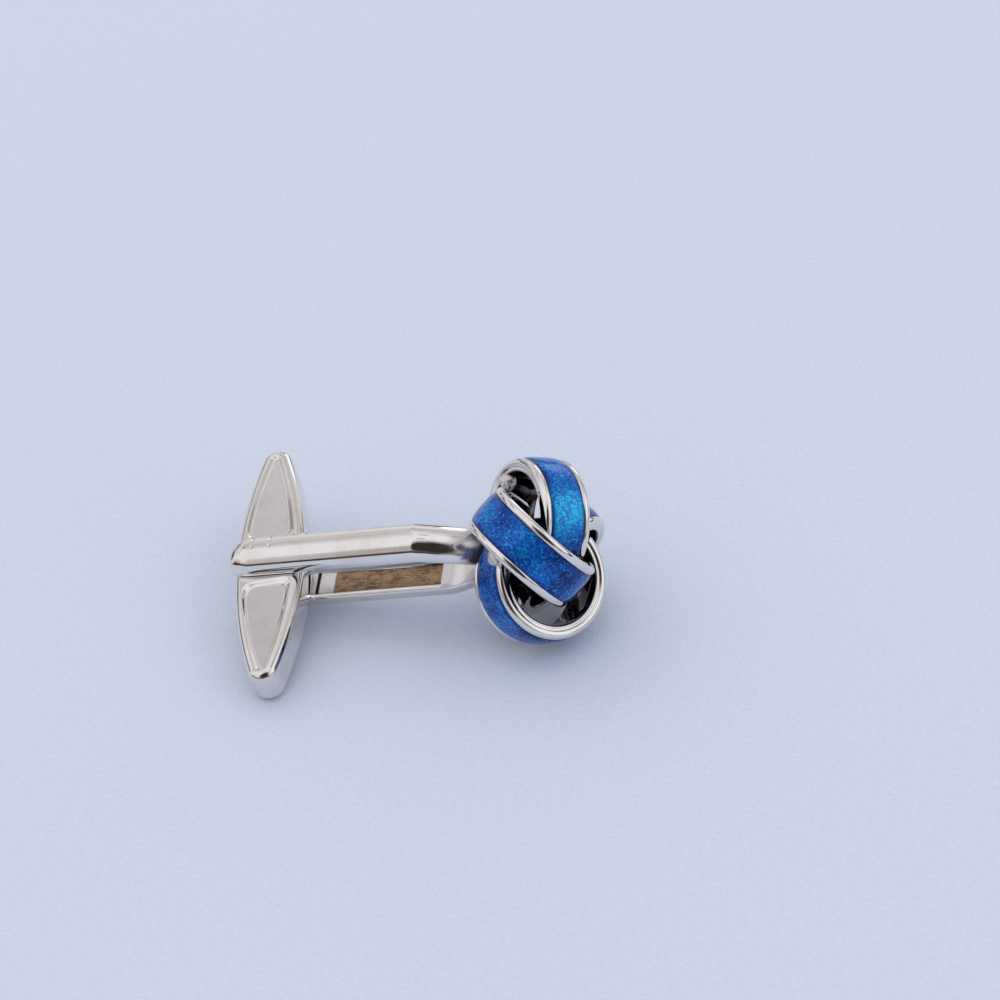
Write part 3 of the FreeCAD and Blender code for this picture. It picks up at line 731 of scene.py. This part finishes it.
def arm_points(stem, neck, recessed):
    """Carry the arm's section along the stem: nose, crimp lines, bend and neck change it on the way.

    The steps along the stem are close together where the section changes. Past the bend the section moves in
    and shrinks with the run to the knot. The free end drops and slants with powers of the distance to its
    edge, and a crimp line is a narrow bell curve taken off the crown.
    """
    bend = stem.neck_end - neck
    recess_end = stem.neck_end - stem.lower_neck - stem.recess_land
    nose = -stem.overhang + stem.nose * np.linspace(0.0, 1.0, 14) ** NOSE_CROWDING
    crimps = stem.crimp_middle + np.array([-stem.crimp, stem.crimp])
    marks = (crimps[:, None] + np.linspace(-CRIMP_REACH, CRIMP_REACH, 15)).ravel()
    fold = bend + np.linspace(-BEND_REACH, BEND_REACH, 15)
    walls = [stem.recess_start - WALL_STEP, stem.recess_start, recess_end, recess_end + WALL_STEP]
    x = np.unique(np.round(np.concatenate([nose, marks, fold, walls, [stem.neck_end]]), 7))
    run = np.clip((x - bend) / neck, 0.0, 1.0)
    soft = BEND_SOFTNESS / neck
    ramp = 0.5 * (run + np.sqrt(run ** 2 + soft ** 2)) - 0.5 * soft
    ramp = np.where(x < bend - BEND_REACH, 0.0, ramp)
    inner = stem.gap / 2 + (stem.neck_gap / 2 - stem.gap / 2) * ramp
    width = stem.width - 2 * stem.neck_narrowing * ramp
    height = stem.height - stem.neck_thinning * ramp
    from_middle = np.abs(x - (stem.recess_start + recess_end) / 2)
    in_recess = from_middle < (recess_end - stem.recess_start + WALL_STEP) / 2
    recess = np.where(in_recess, stem.recess_depth, 0.0) * float(recessed)
    section = arm_section(width, height, inner, stem, recess)
    ease = 1.0 - np.clip((x + stem.overhang) / stem.nose, 0.0, 1.0)
    drop = NOSE_DROP * ease ** DROP_POWER
    losses = (stem.nose_far, stem.nose_near)
    left, right = losses if recessed else losses[::-1]
    loss = np.where(section[..., 0] < 0.0, left, right) * (ease ** SLANT_POWER)[:, None]
    y = section[..., 0] * (1.0 - loss / (stem.width / 2))
    above = section[..., 1] - inner[:, None]
    groove = np.exp(-((x[:, None] - crimps) / CRIMP_SPREAD) ** 2).sum(axis=1) * stem.crimp_depth
    crown = smooth_step(above / (0.5 * stem.height)) * smooth_step(0.5 + y / (0.5 * stem.width))
    z = inner[:, None] + above * (1.0 - drop[:, None]) - groove[:, None] * crown
    return np.stack([np.broadcast_to(x[:, None], y.shape), y, z], axis=-1)


class BuildArms(bpy.types.Operator):
    """Build the two arms of the stem"""

    bl_idname = "cufflink.arms"
    bl_label = "Stem arms"

    def execute(self, context):
        stem = context.scene.cufflink_stem
        for side, neck, turn in (("upper", stem.upper_neck, 0.0), ("lower", stem.lower_neck, math.pi)):
            points = turn_about_stem(arm_points(stem, neck, side == "lower"), turn)
            along_neck = np.clip((points[..., 0] - stem.neck_end) / neck + 1.0, 0.0, 1.0)
            add_piece(f"stem_{side}_arm", [points], finish_named("plating"), "stem", f"{side}_arm",
                      {"neck": along_neck})
        return {"FINISHED"}


class BuildSpring(bpy.types.Operator):
    """Build the leaf spring in the lower arm"""

    bl_idname = "cufflink.spring"
    bl_label = "Leaf spring"

    def execute(self, context):
        # A flat section with round edges runs along the recess: level on its foot, then up to the tip
        stem = context.scene.cufflink_stem
        tip = stem.recess_start + stem.spring_play
        heel = stem.neck_end - stem.lower_neck - stem.recess_land - stem.spring_play
        x = np.linspace(tip, heel, SPRING_PLACES)
        low = stem.gap / 2 + stem.recess_depth
        high = stem.gap / 2 + stem.spring_play + stem.spring
        climb = np.clip((heel - stem.spring_foot - x) / (heel - stem.spring_foot - tip), 0.0, 1.0)
        bottom = low + (high - low) * climb
        half = stem.recess_width / 2 - stem.spring_play
        soft = stem.spring / 2
        right = arc((half - soft, 0.0), (soft, soft), -QUARTER_TURN, QUARTER_TURN, 9)
        left = arc((soft - half, 0.0), (soft, soft), QUARTER_TURN, 3 * QUARTER_TURN, 9)
        section = np.concatenate([right, left])
        y = np.broadcast_to(section[:, 0], (len(x), len(section)))
        z = bottom[:, None] - soft - section[None, :, 1]
        leaf = np.stack([np.broadcast_to(x[:, None], y.shape), y, z], axis=-1)
        leaf = turn_about_stem(leaf[:, ::-1], math.pi)
        along = np.broadcast_to(np.linspace(0.0, 1.0, len(x))[:, None], y.shape)
        add_piece("leaf_spring", [leaf], finish_named("spring"), "stem", "detent_spring",
                  {"along": along})
        return {"FINISHED"}


# The toggle bar

# Places along the bar and across it, closer places at each panel's start, and the gap left open at the tips
BAR_PLACES = 220
BAR_COLUMNS = 97
HUB_PLACES = np.linspace(-0.3, 1.3, 42) * MM
TIP_GAP = 0.01 * MM


def leaf_arcs(toggle):
    """The leaf's outline: its tips' centres along it, and the radius and centre line of its two long arcs.

    A long arc passes the bar's widest point and touches both round tips from outside their centres.
    """
    half, tip = toggle.width / 2, toggle.tip
    tip_centre = toggle.length / 2 - tip
    radius = (half ** 2 + tip_centre ** 2 - tip ** 2) / (2 * (half - tip))
    return tip_centre, radius, radius - half


def leaf_depth(toggle, x, y):
    """Distance of points inside the leaf's outline, whose two long arcs run into round tips."""
    tip_centre, radius, side_centre = leaf_arcs(toggle)
    from_side = radius - np.hypot(np.abs(x) + side_centre, y)
    beyond = np.abs(y) - tip_centre
    in_tip = beyond * side_centre > np.abs(x) * tip_centre
    from_tip = toggle.tip - np.hypot(x, beyond)
    return np.where(in_tip, from_tip, from_side)


def leaf_half_width(toggle, y):
    """Half width of the leaf at a place along it: a long arc to where it touches the tip, then the tip."""
    tip_centre, radius, side_centre = leaf_arcs(toggle)
    tangent = tip_centre * radius / (radius - toggle.tip)
    side = np.sqrt(np.maximum(radius ** 2 - y ** 2, 0.0)) - side_centre
    cap = np.sqrt(np.maximum(toggle.tip ** 2 - (np.abs(y) - tip_centre) ** 2, 0.0))
    return np.where(np.abs(y) > tangent, cap, side)


def toggle_face(toggle, x, y):
    """Height of a face over the bar's middle plane: a rounded edge, a rim and a dished panel on each wing.

    A panel's depth follows the lesser of the distances inside the rim and past the hub, eased where they
    meet, over a run that grows from the side away from the knot to the side towards it.
    """
    inside = np.maximum(leaf_depth(toggle, x, y), 0.0)
    round_off = toggle.round - np.minimum(inside, toggle.round)
    edge = toggle.round - np.sqrt(np.maximum(toggle.round ** 2 - round_off ** 2, 0.0))
    from_rim = inside - toggle.rim
    slope = toggle.slope + (toggle.soft_slope - toggle.slope) * smooth_step(0.5 + x / toggle.width)
    from_hub = (np.abs(y) - toggle.hub) * slope / toggle.hub_slope
    corner = toggle.corner
    near = np.clip(0.5 + 0.5 * (from_hub - from_rim) / corner, 0.0, 1.0)
    panel = from_hub * (1 - near) + from_rim * near - corner * near * (1 - near)
    dish = toggle.dish * smooth_step(panel / slope)
    return toggle.thickness / 2 - edge - dish


class BuildToggle(bpy.types.Operator):
    """Build the toggle bar"""

    bl_idname = "cufflink.toggle"
    bl_label = "Toggle bar"

    def execute(self, context):
        toggle = context.scene.cufflink_toggle
        reach = toggle.length / 2 - TIP_GAP
        hub = toggle.hub + HUB_PLACES
        along = np.sin(np.linspace(-QUARTER_TURN, QUARTER_TURN, BAR_PLACES)) * reach
        y = np.unique(np.round(np.concatenate([along, -hub, hub]), 8))
        spread = np.sin(np.linspace(-QUARTER_TURN, QUARTER_TURN, BAR_COLUMNS))
        spread = 0.5 * spread + 0.5 * np.linspace(-1.0, 1.0, BAR_COLUMNS)
        x = leaf_half_width(toggle, y)[:, None] * spread[None, :]
        yy = np.broadcast_to(y[:, None], x.shape)
        face = toggle_face(toggle, x, yy)
        upper = np.stack([x + toggle.offset, yy, face], axis=-1)
        lower = upper[:, ::-1] * np.array([1.0, 1.0, -1.0])
        bar = turn_about_pin(np.concatenate([upper, lower], axis=1), toggle.swivel)
        add_piece("toggle_leaf", [bar], finish_named("plating"), "toggle", "toggle_bar")
        return {"FINISHED"}


class DressHidden(bpy.types.Operator):
    """Give the core and the pin, which stay as they are, their finishes"""

    bl_idname = "cufflink.hidden"
    bl_label = "Core and pin"

    def execute(self, context):
        for node, finish in (("knot_core", "core"), ("pivot_pin", "plating")):
            slots = frame["nodes"][node].data.materials
            slots.clear()
            slots.append(finish_named(finish))
        return {"FINISHED"}


# The stage

TABLE_HALF = 1.5
LAMP_TARGET = (0.0, 0.0, 0.004)
FRAME_WIDTH_MM = 36.0
NEAR_CLIP = 0.001


def add_lamp(name, place, size, power, tint):
    """Hang a round soft lamp that shines at the cufflink and doesn't show in mirrors."""
    lamp = bpy.data.lights.new(name, "AREA")
    lamp.shape = "DISK"
    lamp.size = size
    lamp.energy = power
    lamp.color = tint
    obj = bpy.data.objects.new(name, lamp)
    bpy.context.scene.collection.objects.link(obj)
    obj.visible_glossy = False
    obj.location = place
    obj.rotation_euler = (Vector(LAMP_TARGET) - Vector(place)).to_track_quat("-Z", "Y").to_euler()


# The room that mirrors see: shades from the table's level to overhead, then round patches with their
# direction, the cosines where they fade out and are full, and their shade, and then the clouds on its walls
ROOM_STOPS = ((0.0, (0.50, 0.50, 0.54)), (0.03, (0.07, 0.04, 0.025)), (0.13, (0.02, 0.012, 0.009)),
              (0.18, (0.55, 0.51, 0.49)), (0.45, (0.80, 0.78, 0.79)), (0.68, (0.62, 0.60, 0.61)),
              (0.80, (0.56, 0.54, 0.55)), (1.0, (0.95, 0.93, 0.93)))
DARK_CORNER = ((0.18, -0.82, 0.54), (0.78, 0.94), (0.035, 0.028, 0.025))
SKYLIGHT = ((-0.56, -0.34, 0.75), (0.84, 0.95), (0.92, 0.91, 0.92))
SIDE_WINDOW = ((0.86, 0.08, 0.50), (0.90, 0.96), (1.02, 1.04, 1.08))
BACK_WINDOW = ((0.19, 0.93, 0.31), (0.975, 0.99), (1.6, 1.65, 1.7))
PALE_WALL = (0.98, 0.97, 0.97)
DIM_WALL = (0.08, 0.06, 0.05)
# The even light that matt surfaces get
EVEN_LIGHT = (0.95, 0.97, 1.0)


def build_world(settings):
    """Light the scene from all round.

    Matt surfaces get an even light. Mirrors see an uneven pale room with a dark band low on its walls, a
    dark corner, a skylight and two windows, which are round patches about their directions.
    """
    world = bpy.data.worlds.new("soft_room")
    bpy.context.scene.world = world
    graph = Graph(world)
    towards = graph.node("ShaderNodeTexCoord", {}, out="Generated")
    height = graph.node("ShaderNodeSeparateXYZ", {}, towards, out="Z")
    shade = graph.node("ShaderNodeValToRGB", {"stops": ROOM_STOPS}, height)
    patches = graph.node("ShaderNodeTexNoise", {}, Vector=towards, Scale=2.6, Detail=1.5)
    shade = graph.mix(patches.over(0.50, 0.62) * 0.7, shade, PALE_WALL)
    shade = graph.mix((1.0 - patches.over(0.34, 0.40)) * 0.5, shade, DIM_WALL)
    for middle, (low, high), colour in (DARK_CORNER, SKYLIGHT, SIDE_WINDOW, BACK_WINDOW):
        near = graph.node("ShaderNodeVectorMath", {"operation": "DOT_PRODUCT"}, towards,
                          Vector(middle).normalized(), out="Value")
        shade = graph.mix(near.over(low, high), shade, colour)
    even = graph.node("ShaderNodeBackground", {}, EVEN_LIGHT, settings.sky)
    room = graph.node("ShaderNodeBackground", {}, shade, 1.0)
    glossy = graph.node("ShaderNodeLightPath", {}, out="Is Glossy Ray")
    light = graph.node("ShaderNodeMixShader", {}, glossy, even, room)
    graph.node("ShaderNodeOutputWorld", {}, light, out=None)


class BuildStage(bpy.types.Operator):
    """Build the table top, the lamps, the room and the camera"""

    bl_idname = "cufflink.stage"
    bl_label = "Stage"

    def execute(self, context):
        scene = context.scene
        settings = scene.cufflink_stage
        mesh = bpy.data.meshes.new("table_top")
        half = TABLE_HALF
        corners = [(-half, -half, 0.0), (half, -half, 0.0), (half, half, 0.0), (-half, half, 0.0)]
        mesh.from_pydata(corners, [], [(0, 1, 2, 3)])
        mesh.materials.append(finish_named("floor"))
        table = bpy.data.objects.new("table_top", mesh)
        scene.collection.objects.link(table)
        add_lamp("key_lamp", place=(-0.20, 0.14, 0.36), size=0.5, power=settings.key,
                 tint=(1.0, 0.98, 0.96))
        add_lamp("fill_lamp", place=(0.36, -0.10, 0.26), size=0.36, power=settings.fill,
                 tint=(0.95, 0.97, 1.0))
        build_world(settings)
        camera = bpy.data.cameras.new("photo_camera")
        camera.lens = settings.lens
        camera.sensor_width = FRAME_WIDTH_MM
        camera.clip_start = NEAR_CLIP
        view = bpy.data.objects.new("photo_camera", camera)
        scene.collection.objects.link(view)
        azimuth = Matrix.Rotation(settings.azimuth, 4, "Z")
        tilt = Matrix.Rotation(QUARTER_TURN - settings.elevation, 4, "X")
        roll = Matrix.Rotation(settings.roll, 4, "Z")
        view.matrix_world = Matrix.Translation(settings.eye) @ azimuth @ tilt @ roll
        scene.camera = view
        scene.view_settings.view_transform = "Standard"
        return {"FINISHED"}


class CufflinkPanel(bpy.types.Panel):
    """Sizes, colours and build steps of the cufflink"""

    bl_idname = "VIEW3D_PT_cufflink"
    bl_label = "Cufflink"
    bl_space_type = "VIEW_3D"
    bl_region_type = "UI"
    bl_category = "Cufflink"

    def draw(self, context):
        for step in STEPS:
            self.layout.operator(step.bl_idname)
        for name, group in GROUPS.items():
            column = self.layout.column(heading=group.__name__)
            for key in group.__annotations__:
                column.prop(getattr(context.scene, name), key)


STEPS = (BuildBands, BuildEnamel, BuildSolder, BuildArms, BuildSpring, BuildToggle, DressHidden, BuildStage)
GROUPS = {"cufflink_knot": KnotSizes, "cufflink_stem": StemSizes, "cufflink_toggle": ToggleSizes,
          "cufflink_finishes": Finishes, "cufflink_stage": StageSettings}


def register():
    """Register the classes and give the scene their settings."""
    for cls in (*GROUPS.values(), *STEPS, CufflinkPanel):
        bpy.utils.register_class(cls)
    for name, group in GROUPS.items():
        setattr(bpy.types.Scene, name, PointerProperty(type=group))


def unregister():
    """Take the settings and the classes away again."""
    for name in GROUPS:
        delattr(bpy.types.Scene, name)
    for cls in reversed((*GROUPS.values(), *STEPS, CufflinkPanel)):
        bpy.utils.unregister_class(cls)


def main():
    """Build the cufflink and its stage."""
    register()
    bpy.ops.cufflink.bands()
    bpy.ops.cufflink.enamel()
    bpy.ops.cufflink.solder()
    bpy.ops.cufflink.arms()
    bpy.ops.cufflink.spring()
    bpy.ops.cufflink.toggle()
    bpy.ops.cufflink.hidden()
    bpy.ops.cufflink.stage()


if __name__ == "__main__":
    main()
